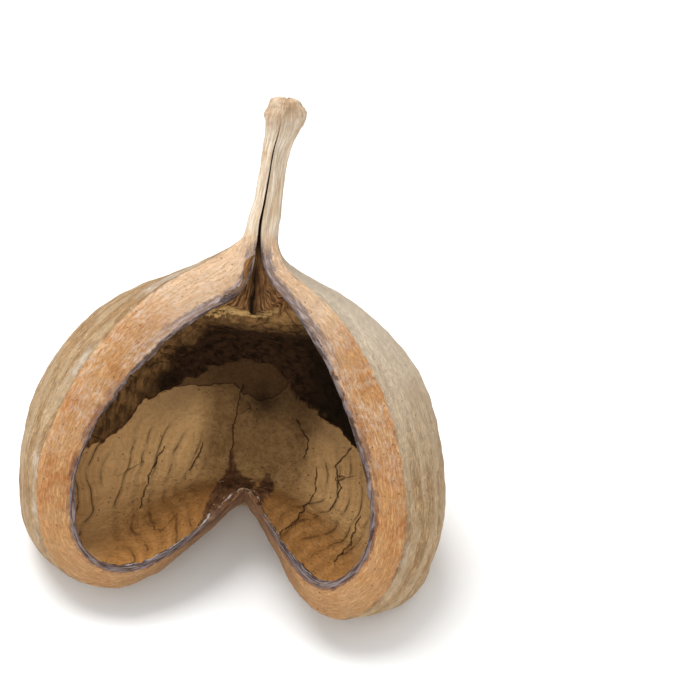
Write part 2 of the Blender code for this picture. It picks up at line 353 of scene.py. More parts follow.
def surface_marks(at, zone):
    """Values that the relief and the finishes read, worked out for every point."""
    p = zone["p"]
    x, q = p[..., 0], p[..., 1]
    place = np.repeat(at[:, None], p.shape[1], axis=1)
    lip = zone["lip_mm"]
    in_hollow = (lip > -0.2).astype(float)
    # The torn edges of the lining, the cracks and the bare scars.
    wobble = 1.3 * drift(p / 7.0, 11) + 0.9 * drift(p / 2.6, 12) + 0.5 * drift(p / 1.1, 13)
    torn = (np.interp(x, *zip(*TORN_EDGE)) - q) * 0.85 + wobble
    second = (np.interp(x, *zip(*SECOND_TEAR)) - q) * 0.85 + 0.8 * wobble
    low = 2.3 + 0.5 * drift(p / 5.0, 14) + 0.45 * drift(p / 1.6, 15)
    lining = np.minimum(torn, lip - low)
    crack = np.full(x.shape, 9.0)
    for line in CRACKS:
        here = line_distance(x + 0.35 * wobble, q + 0.3 * drift(p / 1.8, 17), line)
        crack = np.minimum(crack, here)
    scar = np.full(x.shape, -20.0)
    for outline in SCARS:
        scar = np.maximum(scar, inside_distance(x, q, outline))
    scar = np.where(in_hollow > 0, scar + 0.6 * drift(p / 2.0, 16), -20)
    # The rough wall at the left and the dark cavity, the ledge and the split throat at the neck.
    left_lip = np.array(LIP_LEFT[:10][::-1])
    inward = x - np.interp(q, left_lip[:, 1], left_lip[:, 0])
    inward = inward + 4 * drift(p / 6.0, 18) + 2.5 * drift(p / 2.2, 30)
    rough_wall = smoothstep(4, -7, inward) * smoothstep(-3, -9, x) * smoothstep(-8, 2, q)
    cavity = smoothstep(0.3, -1.2, torn) * (1 - rough_wall) * smoothstep(7.9, 9.2, place)
    slope = 0.045 * np.clip(-x - 2, 0, 25) - 0.035 * np.clip(x - 4, 0, 12)
    ledge_end = 8.12 + slope + 0.13 * drift(p / 5.0, 19) + 0.09 * drift(p / 1.5, 20)
    ledge_start = 7.72 + 0.7 * slope + 0.08 * drift(p / 3.0, 33)
    ledge = smoothstep(ledge_start - 0.06, ledge_start + 0.12, place)
    ledge = ledge * smoothstep(ledge_end + 0.05, ledge_end - 0.05, place)
    ledge = ledge * smoothstep(2.5, 6.0, lip)
    throat = smoothstep(8.1, 7.8, place) * smoothstep(6.0, 6.5, place) * smoothstep(0.2, 1.0, lip)
    # The hole in the split throat: sunk, and painted dark as shade.
    shadowed_hole = bell(x, 0.8 + 0.6 * drift(p / 3.0, 23), 0.7 + 0.9 * smoothstep(7.1, 7.9, place))
    shadowed_hole = shadowed_hole * smoothstep(6.3, 6.9, place) * smoothstep(8.0, 7.75, place)
    # The waves of the lining in the lobes.
    near = np.minimum(line_distance(x, q, [v[:2] for v in LIP_LEFT[:11]]),
                      line_distance(x, q, [v[:2] for v in LIP_RIGHT[:11]]))
    turns = 1.4 * near + 4.5 * drift(p / 17.0, 24) + 0.9 * drift(p / 5.5, 27)
    lobes = smoothstep(12, 1, q + 5 * drift(p / 9.0, 35))
    lobes = lobes * smoothstep(1.0, 3.0, near) * smoothstep(32, 20, near)
    # Painted shade for the deepest places, which get hardly any light.
    pocket = np.exp(-((x + 30) / 9.0) ** 2 - ((q - 21.5) / 5.0) ** 2)
    gloom = (pocket + smoothstep(11, 22, x)) * smoothstep(0.3, -1.5, torn)
    under_neck = (q - 20.5 + 2 * drift(p / 4.0, 37)) / 7.0
    gloom = gloom + 0.85 * np.exp(-((x - 0.5) / 8.5) ** 2 - under_neck ** 2)
    # The fold beside the long crack.
    crease_x, crease_q = zip(*CREASE)
    off = x - np.interp(q, crease_q, crease_x) + 0.7 * drift(p / 4.0, 38)
    fold = np.where(off < 0, 1.9 * smoothstep(-13, 0, off),
                    1.9 * smoothstep(11, 0, off)
                    - 1.7 * smoothstep(0, 1.0, off) * smoothstep(15, 5, off))
    fold = fold * smoothstep(-7, 0, q) * smoothstep(30, 23, q)
    inside = {
        "cavity": cavity, "rough_wall": rough_wall, "ledge": ledge, "throat": throat, "shadowed_hole": shadowed_hole,
        "lobes": lobes, "gloom": np.clip(gloom, 0, 1), "fold": fold,
        # Side places of the hollow: painted light on the flanks, painted shade in the middle.
        "lit_flank": smoothstep(12, 27, np.abs(x)),
    }
    marks = {"stalk": smoothstep(6.5, 5.1, place), "place": place, "lining_mm": lining,
             "torn_mm": torn, "second_mm": second, "crack_mm": crack, "scar_mm": scar, "turns": turns}
    marks.update((name, v * in_hollow) for name, v in inside.items())
    return marks


# Marks that only shape the surface. The finishes read all others.
RELIEF_ONLY = ("crack_mm", "fold")


def relief(zone, marks, along):
    """Height in millimetres that each point is raised by."""
    p, share, lip = zone["p"], zone["share"], zone["lip_mm"]
    on_skin = (zone["edge_mm"] <= 0).astype(float)
    on_rim = ((zone["edge_mm"] > 0) & (lip < 0)).astype(float)
    on_hollow = (lip >= 0).astype(float)
    stalk, place = marks["stalk"], marks["place"]
    level = np.zeros_like(along)
    fan = np.stack([along / 22.0, share * 17 * zone["side"], level], -1)
    fibre = np.stack([along / 8.0, zone["edge_mm"], level + 40], -1)
    neck = smoothstep(9.6, 6.5, place)
    stalk_fibre = np.stack([along / 12.0, share * 8 * zone["side"], level + 9], -1)
    wood = stalk * 0.3 * rough(stalk_fibre, 3, 26)
    wood += smoothstep(2.4, 1.3, place) * 0.4 * rough(p / 2.4, 3, 28)
    h_skin = 0.5 * drift(p / 22.0, 21) + 0.26 * rough(p / 7.0, 3, 22) + 0.2 * rough(fan, 2, 25)
    h_skin += wood
    h_rim = 0.35 * drift(p / 8.0, 31) + 0.2 * rough(p / 3.2, 3, 36) + 0.14 * rough(fibre, 2, 32)
    h_rim += neck * 0.3 * rough(fibre, 2, 34) + wood
    h_rim -= 0.55 * smoothstep(0.84, 0.97, zone["rim_share"]) * smoothstep(6.2, 8.0, place)
    intact = smoothstep(0.0, 0.5, marks["lining_mm"])
    curl = bell(marks["lining_mm"], 0.6, 0.6) * smoothstep(7.9, 9.0, place)
    h_in = 0.9 * intact + 0.4 * curl + 0.45 * drift(p / 11.0, 41) + 0.2 * rough(p / 3.4, 4, 42)
    h_in += 0.45 * smoothstep(-0.2, 0.3, marks["second_mm"]) * intact
    slope = np.stack([p[..., 0] / 9.0, p[..., 1] / 2.6, p[..., 2] / 4.5], -1)
    crust = np.abs(rough(slope, 4, 44))
    h_in += marks["rough_wall"] * (1.7 * crust - 0.3) * (1 - intact)
    h_in += (1 - intact) * 0.5 * rough(p / 4.0, 3, 47) * smoothstep(2.5, 5, lip)
    h_in -= 1.2 * marks["cavity"]
    h_in -= 0.6 * bell(marks["crack_mm"], 0, 0.7)
    scarred = smoothstep(-0.4, 0.5, marks["scar_mm"])
    h_in += scarred * (0.9 * rough(p / 2.6, 3, 50) - 0.6)
    h_in += marks["fold"] - 0.32 * marks["lobes"] * (0.5 + 0.5 * np.cos(marks["turns"])) ** 2
    fray = np.stack([p[..., 0] / 6.0, p[..., 1] / 1.6, p[..., 2] / 1.6], -1)
    h_in += marks["ledge"] * (2.6 + 0.9 * rough(fray, 3, 46))
    flap = np.stack([p[..., 0] / 1.6, p[..., 1] / 9.0, p[..., 2] / 5.0], -1)
    h_in += marks["throat"] * (1.4 + 0.8 * rough(flap, 3, 48)) - 3.2 * marks["shadowed_hole"]
    fade_in = smoothstep(5.9, 6.8, place)
    return on_skin * h_skin + on_rim * h_rim + on_hollow * h_in * fade_in


def stand_up(p):
    """Pod frame to upright metres, at the solid's place, flat where it rests."""
    a = math.radians(LEAN_DEG)
    x, q, d = p[..., 0], p[..., 1], p[..., 2]
    w = np.stack([x, q * math.sin(a) + d * math.cos(a), q * math.cos(a) - d * math.sin(a)], -1)
    w += FRAME_PLACE
    w[..., 2] = np.maximum(w[..., 2], 0)
    return w * MM


def knob_rings(loop):
    """Rings that close the knob: rounded shoulders round a small sunken scar."""
    middle = (loop[0] + loop[HALF]) / 2
    rings = []
    for size in KNOB_SIZES:
        rise = KNOB_RISE * math.sqrt(1 - size**2) - KNOB_SCAR * max(0.0, 1 - size / 0.4)
        ring = middle + (loop - middle) * size
        angle = np.arctan2(ring[:, 2] - middle[2], ring[:, 0] - middle[0])
        wrinkle = np.sin(angle * KNOB_WRINKLES + 3 * size) * math.sin(math.pi * size)
        ring[:, 1] += rise + KNOB_WRINKLE * wrinkle
        ring[:, 2] -= 0.25 * rise
        rings.append(ring)
    return rings[::-1], middle + (0, 0.55, -0.12)


def pod_surface():
    """Points of the whole pod and the values that its finishes read."""
    at = np.concatenate([np.linspace(0, NECK, STEPS_STALK, endpoint=False),
                         np.linspace(NECK, NOTCH, STEPS_BODY)])
    zone = join_halves(half_pod(at, 1, "r"), half_pod(at, -1, "l"))
    zone["p"] = settle_edges(zone["p"], zone)
    step = np.diff(zone["p"], axis=0, prepend=zone["p"][:1])
    along = np.cumsum(np.linalg.norm(step, axis=-1), axis=0)
    along -= along[STEPS_STALK]
    marks = surface_marks(at, zone)
    height = relief(zone, marks, along)
    taper = smoothstep(NOTCH, 19.3, at)[:, None]
    p = zone["p"] + ring_normals(zone["p"]) * (height * taper)[..., None]
    values = {k: v for k, v in marks.items() if k not in RELIEF_ONLY}
    values["edge_mm"], values["lip_mm"] = zone["edge_mm"], zone["lip_mm"]
    values["side"] = smoothstep(-34, 30, p[..., 0] + 9 * drift(p / 16.0, 39))
    values["grain"] = np.stack([along, zone["across"], np.zeros_like(along)], -1)
    values["flat"] = zone["p"] * (1, 1, 0)
    return p, values


def ring_faces(rows, k, tip, seam):
    """Faces between rings, the fan on the knob and the zip at the notch, with finish numbers."""
    finish_of = []
    for j in range(k):
        m = j if j < HALF else 2 * HALF - 1 - j
        finish_of.append(0 if m < EDGE else 1 if m < LIP else 2)
    faces, finish = [], []
    for i in range(rows - 1):
        for j in range(k):
            n = (j + 1) % k
            faces.append((i * k + j, i * k + n, (i + 1) * k + n, (i + 1) * k + j))
            finish.append(finish_of[j])
    for j in range(k):
        faces.append((tip, (j + 1) % k, j))
        finish.append(0)
    right = [0] * STEPS_SKIN + list(range(STEPS_RIM)) + [STEPS_RIM] * (STEPS_HOLLOW + 1)
    left = [STEPS_RIM] * STEPS_HOLLOW + list(range(STEPS_RIM - 1, -1, -1)) + [0] * (STEPS_SKIN - 1)
    to = [seam + v for v in right + left]
    row = (rows - 1) * k
    for j in range(k):
        n = (j + 1) % k
        corner = (row + j, row + n, to[n], to[j])
        faces.append(corner if to[n] != to[j] else corner[:3])
        finish.append(finish_of[j])
    return faces, finish


def build_pod(finishes):
    """The pod as one mesh, with its finishes and the values that they read."""
    p, values = pod_surface()
    body, last = p[:-1], p[-1]
    rings, tip = knob_rings(body[0])
    rows, k = len(rings) + len(body), p.shape[1]
    points = np.concatenate([np.array(rings).reshape(-1, 3), body.reshape(-1, 3), tip[None],
                             last[EDGE:LIP + 1]])
    faces, finish = ring_faces(rows, k, rows * k, rows * k + 1)
    mesh = bpy.data.meshes.new("split_pod")
    mesh.from_pydata(stand_up(points).tolist(), [], faces)
    for mat in finishes:
        mesh.materials.append(mat)
    mesh.polygons.foreach_set("material_index", np.array(finish, np.int32))
    mesh.polygons.foreach_set("use_smooth", np.ones(len(faces), bool))

    for name, v in values.items():
        knob = np.repeat(v[:1], len(rings), axis=0)
        knob, rest = (part.reshape((-1,) + v.shape[2:]) for part in (knob, v[:-1]))
        v = np.concatenate([knob, rest, v[0, :1], v[-1, EDGE:LIP + 1]]).astype(np.float32)
        kind, key = ("FLOAT", "value") if v.ndim == 1 else ("FLOAT_VECTOR", "vector")
        mesh.attributes.new(name, kind, "POINT").data.foreach_set(key, v.ravel())
    mesh.validate()
    pod = bpy.data.objects.new("split_pod", mesh)
    bpy.context.scene.collection.objects.link(pod)
    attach(pod, "root")
    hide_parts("pod")
    return pod


# Finishes. Distances are in millimetres, and "place" counts the guide sections: 0 at the
# stalk's end, NECK where the stalk joins the cup, NOTCH at the far end.
WOOD_SHINE = 0.25
HOLLOW_SHINE = 0.08
NO_END = 90.0


def tint(r, g, b):
    """A colour given as 0 to 255 on screen, in the shader's own scale."""
    shares = [v / 255 for v in (r, g, b)]
    low = 10 / 255
    return tuple(v / 12.92 if v <= low else ((v + 0.055) / 1.055) ** 2.4 for v in shares) + (1.0,)


def put(tree, kind, settings=(), **feeds):
    """Adds a node. A feed named i0, i1 goes in by number, any other by its name."""
    node = tree.nodes.new(kind)
    for name, value in dict(settings).items():
        setattr(node, name, value)
    for name, value in feeds.items():
        key = int(name[1:]) if name[0] == "i" and name[1:].isdigit() else name.replace("_", " ")
        socket = node.inputs[key]
        if isinstance(value, bpy.types.NodeSocket):
            tree.links.new(value, socket)
        else:
            socket.default_value = value
    return node


def calc(tree, how, a, b=0.0, c=0.0, clamp=False):
    settings = {"operation": how, "use_clamp": clamp}
    return put(tree, "ShaderNodeMath", settings, i0=a, i1=b, i2=c).outputs[0]


def times(tree, a, b):
    return calc(tree, "MULTIPLY", a, b)


def plus(tree, a, b):
    return calc(tree, "ADD", a, b)


def rest_of(tree, amount):
    """What an amount leaves over of one."""
    return calc(tree, "SUBTRACT", 1.0, amount, clamp=True)


def vector(tree, how, **feeds):
    return put(tree, "ShaderNodeVectorMath", {"operation": how}, **feeds).outputs[0]


def ramp(tree, value, lo, hi, to_lo=0.0, to_hi=1.0):
    """A value eased from the range lo to hi into the range to_lo to to_hi."""
    node = put(tree, "ShaderNodeMapRange", {"interpolation_type": "SMOOTHSTEP"}, Value=value,
               From_Min=lo, From_Max=hi, To_Min=to_lo, To_Max=to_hi)
    return node.outputs["Result"]


def blend(tree, amount, a, b):
    settings = {"data_type": "RGBA", "blend_type": "MIX", "clamp_factor": True}
    return put(tree, "ShaderNodeMix", settings, i0=amount, i6=a, i7=b).outputs[2]


def mark(tree, name, kind="Fac"):
    """A value that the pod's surface carries."""
    return put(tree, "ShaderNodeAttribute", {"attribute_name": name}).outputs[kind]


def own_place(tree):
    """The place on the pod itself, in metres."""
    return put(tree, "ShaderNodeTexCoord").outputs["Object"]


def cloud(tree, where, **how):
    return put(tree, "ShaderNodeTexNoise", Vector=where, **how).outputs


def new_group(name, gives, **takes):
    """An empty node group. An input without a value is a vector, every other a number."""
    group = bpy.data.node_groups.new(name, "ShaderNodeTree")
    for title, value in takes.items():
        kind = "NodeSocketVector" if value is None else "NodeSocketFloat"
        socket = group.interface.new_socket(title, in_out="INPUT", socket_type=kind)
        if value is not None:
            socket.default_value = value
    for title in gives:
        kind = "NodeSocketColor" if title == "Color" else "NodeSocketFloat"
        group.interface.new_socket(title, in_out="OUTPUT", socket_type=kind)
    start = group.nodes.new("NodeGroupInput")
    end = group.nodes.new("NodeGroupOutput")
    return group, start.outputs, end.inputs


def use(tree, group, **feeds):
    node = put(tree, "ShaderNodeGroup", {"node_tree": group}, **feeds)
    return node.outputs


def fibre_streaks():
    """Long thin streaks that follow the grain."""
    g, i, o = new_group("fibre_streaks", ["Streaks"], Grain=None, Length=14.0, Width=1.0,
                        Softness=0.15)
    size = put(g, "ShaderNodeCombineXYZ", X=i["Length"], Y=i["Width"], Z=1.0).outputs[0]
    way = vector(g, "DIVIDE", i0=i["Grain"], i1=size)
    noise = cloud(g, way, Scale=1.0, Detail=4.0, Roughness=0.6)["Fac"]
    lo = calc(g, "SUBTRACT", 0.5, i["Softness"])
    hi = plus(g, 0.5, i["Softness"])
    g.links.new(ramp(g, noise, lo, hi), o["Streaks"])
    return g


def patches():
    """Soft uneven patches, with a rough outline."""
    g, i, o = new_group("weathered_patches", ["Mask"], Size=12.0, Cover=0.5, Softness=0.08,
                        Shift=0.0)
    where = own_place(g)
    scale = calc(g, "DIVIDE", 1 / MM, i["Size"])
    big = vector(g, "SCALE", i0=where, Scale=scale)
    moved = vector(g, "ADD", i0=big, i1=i["Shift"])
    noise = cloud(g, moved, Scale=1.0, Detail=5.0, Roughness=0.62)["Fac"]
    level = ramp(g, i["Cover"], 0.0, 1.0, 0.72, 0.28)
    lo = calc(g, "SUBTRACT", level, i["Softness"])
    hi = plus(g, level, i["Softness"])
    g.links.new(ramp(g, noise, lo, hi), o["Mask"])
    return g


def specks():
    """Tiny scattered spots."""
    g, i, o = new_group("tiny_specks", ["Mask"], Size=1.5, Amount=0.3, Radius=0.25)
    where = own_place(g)
    scale = calc(g, "DIVIDE", 1 / MM, i["Size"])
    cells = put(g, "ShaderNodeTexVoronoi", {"feature": "F1"}, Vector=where, Scale=scale)
    chance = put(g, "ShaderNodeSeparateColor", Color=cells.outputs["Color"]).outputs[0]
    lucky = calc(g, "LESS_THAN", chance, i["Amount"])
    edge = times(g, i["Radius"], 0.5)
    near = ramp(g, cells.outputs["Distance"], edge, i["Radius"], 1.0, 0.0)
    g.links.new(times(g, near, lucky), o["Mask"])
    return g


def ragged_band():
    """One where a distance lies between two limits, with frayed limits."""
    g, i, o = new_group("ragged_band", ["Mask"], Distance=0.0, From=0.0, To=1.0, Fray=0.4,
                        Blur=0.15)
    where = own_place(g)
    noise = cloud(g, where, Scale=520.0, Detail=4.0, Roughness=0.65)["Fac"]
    push = times(g, calc(g, "MULTIPLY_ADD", noise, 2.0, -1.0), i["Fray"])
    moved = plus(g, i["Distance"], push)
    start, stop = (ramp(g, moved, calc(g, "SUBTRACT", i[end], i["Blur"]),
                        plus(g, i[end], i["Blur"]), *to)
                   for end, to in (("From", (0.0, 1.0)), ("To", (1.0, 0.0))))
    g.links.new(times(g, start, stop), o["Mask"])
    return g


def crazing():
    """A loose net of hairline cracks."""
    g, i, o = new_group("hairline_cracks", ["Mask"], Size=9.0, Width=0.03, Cover=0.4)
    where = own_place(g)
    bend = cloud(g, where, Scale=160.0, Detail=3.0)["Color"]
    off = vector(g, "SCALE", i0=bend, Scale=0.006)
    bent = vector(g, "ADD", i0=where, i1=off)
    scale = calc(g, "DIVIDE", 1 / MM, i["Size"])
    cells = put(g, "ShaderNodeTexVoronoi", {"feature": "DISTANCE_TO_EDGE"}, Vector=bent, Scale=scale)
    line = ramp(g, cells.outputs["Distance"], times(g, i["Width"], 0.3), i["Width"],
                1.0, 0.0)
    gate = cloud(g, where, Scale=70.0, Detail=2.0)["Fac"]
    level = ramp(g, i["Cover"], 0.0, 1.0, 0.75, 0.3)
    open_to = plus(g, level, 0.08)
    g.links.new(times(g, line, ramp(g, gate, level, open_to)), o["Mask"])
    return g


def drying_cracks():
    """Distance in millimetres to the nearest drawn crack, slightly crooked."""
    g, i, o = new_group("drying_cracks", ["Distance"], Flat=None, Wander=1.6)
    where = own_place(g)
    noise = cloud(g, where, Scale=300.0, Detail=3.0, Roughness=0.6)["Color"]
    push = vector(g, "SUBTRACT", i0=noise, i1=(0.5, 0.5, 0.5))
    push = vector(g, "SCALE", i0=push, Scale=i["Wander"])
    push = vector(g, "MULTIPLY", i0=push, i1=(1.0, 1.0, 0.0))
    spot = vector(g, "ADD", i0=i["Flat"], i1=push)
    nearest = None
    for line in CRACKS:
        for (ax, aq), (bx, bq) in zip(line[:-1], line[1:]):
            ux, uq = bx - ax, bq - aq
            size = ux * ux + uq * uq
            run = vector(g, "SUBTRACT", i0=spot, i1=(ax, aq, 0.0))
            part = put(g, "ShaderNodeVectorMath", {"operation": "DOT_PRODUCT"}, i0=run,
                       i1=(ux / size, uq / size, 0.0)).outputs["Value"]
            part = calc(g, "ADD", part, 0.0, clamp=True)
            foot = vector(g, "SCALE", i0=(ux, uq, 0.0), Scale=part)
            gap = put(g, "ShaderNodeVectorMath", {"operation": "DISTANCE"}, i0=run,
                      i1=foot).outputs["Value"]
            nearest = gap if nearest is None else calc(g, "MINIMUM", nearest, gap)
    g.links.new(nearest, o["Distance"])
    return g


def stalk_colour(streaks, spots):
    """Pale beige of the stalk, with pale and dark fibres."""
    g, i, o = new_group("stalk_wood", ["Color", "Height"], Grain=None)
    shrink = vector(g, "MULTIPLY", i0=i["Grain"], i1=(1.0, 0.22, 1.0))
    pale = use(g, streaks, Grain=shrink, Length=20.0, Width=0.8, Softness=0.1)["Streaks"]
    dark = use(g, streaks, Grain=shrink, Length=11.0, Width=0.42, Softness=0.07)["Streaks"]
    broad = use(g, spots, Size=9.0, Cover=0.5, Softness=0.2)["Mask"]
    base = blend(g, broad, tint(228, 200, 164), tint(240, 222, 196))
    base = blend(g, times(g, pale, 0.6), base, tint(246, 236, 220))
    base = blend(g, times(g, dark, 0.42), base, tint(150, 116, 82))
    tip = ramp(g, mark(g, "place"), 2.6, 0.6)
    grime = use(g, spots, Size=4.0, Cover=0.6, Softness=0.2, Shift=3.0)["Mask"]
    base = blend(g, times(g, times(g, tip, grime), 0.7), base, tint(166, 128, 92))
    g.links.new(base, o["Color"])
    g.links.new(calc(g, "SUBTRACT", pale, dark), o["Height"])
    return g


def new_finish(name, roughness):
    mat = bpy.data.materials.new(name)
    mat.use_nodes = True
    tree = mat.node_tree
    shader = tree.nodes["Principled BSDF"]
    shader.inputs["Roughness"].default_value = roughness
    shader.inputs["Specular IOR Level"].default_value = WOOD_SHINE
    return mat, tree, shader


def finish_with(tree, shader, colour, height, depth_mm, rough_value):
    tree.links.new(colour, shader.inputs["Base Color"])
    tree.links.new(rough_value, shader.inputs["Roughness"])
    bump = put(tree, "ShaderNodeBump", Strength=1.0, Distance=depth_mm * MM, Height=height)
    tree.links.new(bump.outputs["Normal"], shader.inputs["Normal"])


def over(tree, base, amount, colour, strength=1.0):
    """Lays a colour over the base where the amount says."""
    if strength != 1.0:
        amount = times(tree, amount, strength)
    return blend(tree, amount, base, colour)


def fine_grit(tree, scale):
    where = own_place(tree)
    return cloud(tree, where, Scale=scale, Detail=5.0, Roughness=0.62)["Fac"]


def brush_for(tree, kit):
    """The shared effects, each ready to be laid in one material with its own values."""
    def effect(group, **always):
        return lambda **values: use(tree, kit[group], **always, **values)[0]
    brush = {name: effect(name) for name in ("patches", "specks", "band", "crazing")}
    brush["streaks"] = effect("streaks", Grain=mark(tree, "grain", "Vector"))
    return SimpleNamespace(**brush)


def skin_finish(kit):
    """Weathered outside: brown to grey-beige, dark fibre flecks, pale spots and a painted highlight at
    the upper right.
    """
    mat, t, shader = new_finish("weathered_skin", 0.8)
    brush = brush_for(t, kit)
    grain = mark(t, "grain", "Vector")
    side = mark(t, "side")
    wash = brush.patches(Size=30.0, Cover=0.55, Softness=0.22)
    grey = calc(t, "ADD", times(t, wash, 0.7), calc(t, "MULTIPLY_ADD", side, 0.2, -0.1), clamp=True)
    base = blend(t, grey, tint(196, 153, 102), tint(214, 183, 140))
    mottle = brush.patches(Size=3.6, Cover=0.42, Softness=0.14, Shift=7.0)
    base = over(t, base, mottle, tint(150, 118, 82), 0.45)
    streak = brush.streaks(Length=9.0, Width=1.0, Softness=0.12)
    base = over(t, base, streak, tint(138, 104, 68), 0.38)
    fleck = brush.streaks(Length=2.4, Width=0.5, Softness=0.05)
    base = over(t, base, fleck, tint(108, 78, 50), 0.42)
    worn = brush.streaks(Length=24.0, Width=4.5, Softness=0.07)
    base = over(t, base, worn, tint(228, 206, 172), 0.34)
    spots = brush.specks(Size=2.6, Amount=0.12, Radius=0.15)
    base = over(t, base, spots, tint(226, 216, 198), 0.65)
    dots = brush.specks(Size=2.1, Amount=0.25, Radius=0.2)
    base = over(t, base, dots, tint(84, 60, 40), 0.6)
    gaps = brush.patches(Size=8.0, Cover=0.36, Softness=0.08, Shift=5.0)
    brim = brush.band(Distance=mark(t, "edge_mm"), From=-0.7, To=0.5, Fray=0.9, Blur=0.25)
    base = over(t, base, times(t, brim, gaps), tint(86, 56, 38), 0.4)
    bleach = brush.band(Distance=mark(t, "edge_mm"), From=-4.5, To=-0.6, Fray=1.6, Blur=0.9)
    chalk = brush.patches(Size=15.0, Cover=0.38, Softness=0.12, Shift=61.0)
    base = over(t, base, times(t, bleach, chalk), tint(226, 214, 198), 0.6)
    # Painted highlight on the upper right of the skin.
    upper_right_highlight = times(t, ramp(t, side, 0.0, 1.0), ramp(t, mark(t, "place"), 12.5, 9.0))
    base = over(t, base, upper_right_highlight, tint(236, 222, 200), 0.65)
    stalk = use(t, kit["stalk"], Grain=grain)
    amount = mark(t, "stalk")
    base = blend(t, amount, base, stalk["Color"])
    body = rest_of(t, amount)
    ridges = plus(t, times(t, streak, -0.5), times(t, fleck, -0.4))
    height = plus(t, times(t, fine_grit(t, 900.0), 0.7), times(t, ridges, body))
    height = plus(t, height, times(t, stalk["Height"], times(t, amount, 0.12)))
    finish_with(t, shader, base, height, depth_mm=0.4,
                rough_value=ramp(t, mottle, 0.0, 1.0, 0.72, 0.88))
    return mat


def rim_finish(kit):
    """Orange tan face of the split rim, with lilac-white bloom and a dark inner line."""
    mat, t, shader = new_finish("split_rim", 0.7)
    brush = brush_for(t, kit)
    grain = mark(t, "grain", "Vector")
    lip = mark(t, "lip_mm")
    place = mark(t, "place")
    wash = brush.patches(Size=10.0, Cover=0.5, Softness=0.12)
    base = blend(t, wash, tint(188, 120, 62), tint(206, 150, 92))
    tan = brush.patches(Size=5.0, Cover=0.45, Softness=0.12, Shift=17.0)
    base = over(t, base, tan, tint(214, 168, 114), 0.6)
    fibre = brush.streaks(Length=4.0, Width=0.6, Softness=0.1)
    base = over(t, base, fibre, tint(156, 94, 44), 0.45)
    thread = brush.streaks(Length=2.0, Width=0.35, Softness=0.07)
    base = over(t, base, thread, tint(222, 182, 132), 0.3)
    grubby = ramp(t, place, 13.0, 15.5)
    base = over(t, base, grubby, tint(184, 142, 98), 0.6)
    high = ramp(t, place, 13.5, 9.5, 0.15, 1.0)
    bloom = brush.patches(Size=8.0, Cover=0.5, Softness=0.12, Shift=11.0)
    lace = brush.streaks(Length=2.6, Width=0.9, Softness=0.1)
    bloom = times(t, times(t, bloom, lace), high)
    base = over(t, base, bloom, tint(232, 212, 194), 0.62)
    # The rim is paler towards the neck.
    paler_upper_rim = ramp(t, place, 10.2, 8.4)
    base = over(t, base, paler_upper_rim, tint(242, 210, 176), 0.6)
    spots = brush.specks(Size=2.0, Amount=0.16, Radius=0.22)
    base = over(t, base, spots, tint(108, 66, 36), 0.6)
    pores = brush.patches(Size=0.9, Cover=0.34, Softness=0.08, Shift=71.0)
    base = over(t, base, pores, tint(140, 92, 54), 0.35)
    gaps = brush.patches(Size=8.0, Cover=0.36, Softness=0.08, Shift=5.0)
    outer = brush.band(Distance=mark(t, "edge_mm"), From=-0.5, To=0.45, Fray=0.7, Blur=0.2)
    base = over(t, base, times(t, outer, gaps), tint(92, 58, 36), 0.4)
    off_stalk = rest_of(t, mark(t, "stalk"))
    lilac = brush.band(Distance=lip, From=-3.4, To=NO_END, Fray=1.6, Blur=0.6)
    near_neck = times(t, ramp(t, place, 5.9, 6.6), ramp(t, place, 10.5, 8.5))
    grey_lilac = blend(t, fibre, tint(170, 156, 156), tint(122, 98, 88))
    base = over(t, base, times(t, lilac, near_neck), grey_lilac, 0.85)
    stain = brush.band(Distance=lip, From=-2.5, To=NO_END, Fray=1.2, Blur=0.35)
    stain = times(t, stain, times(t, off_stalk, ramp(t, place, 9.5, 12.0)))
    soot = brush.patches(Size=7.0, Cover=0.62, Softness=0.12, Shift=31.0)
    stain = times(t, stain, soot)
    base = over(t, base, stain, tint(112, 74, 64), 0.75)
    reach = ramp(t, place, 11.0, 14.5, -0.75, -1.9)
    inner = brush.band(Distance=lip, From=reach, To=NO_END, Fray=0.8, Blur=0.2)
    inner = times(t, inner, times(t, off_stalk, ramp(t, place, 18.9, 17.6)))
    cleft = ramp(t, place, 16.2, 18.6)
    base = over(t, base, cleft, blend(t, fibre, tint(140, 98, 66), tint(84, 58, 44)), 0.75)
    sheen = brush.streaks(Length=5.0, Width=0.5, Softness=0.08)
    base = over(t, base, inner, blend(t, sheen, tint(68, 51, 48), tint(144, 132, 132)), 0.86)
    stalk = use(t, kit["stalk"], Grain=vector(t, "MULTIPLY", i0=grain, i1=(1.0, 3.0, 1.0)))
    amount = ramp(t, mark(t, "stalk"), 0.1, 0.9)
    base = blend(t, amount, base, stalk["Color"])
    slit = brush.band(Distance=lip, From=-0.12, To=NO_END, Fray=0.1, Blur=0.08)
    split = ramp(t, place, 1.9, 2.8)
    slit = times(t, times(t, slit, split), mark(t, "stalk"))
    base = over(t, base, slit, tint(66, 46, 34), 0.8)
    body = rest_of(t, amount)
    ridges = times(t, times(t, fibre, -0.6), body)
    height = plus(t, times(t, fine_grit(t, 1000.0), 0.9), ridges)
    height = plus(t, height, times(t, stalk["Height"], times(t, amount, 0.12)))
    finish_with(t, shader, base, height, depth_mm=0.4,
                rough_value=ramp(t, bloom, 0.0, 1.0, 0.66, 0.8))
    return mat


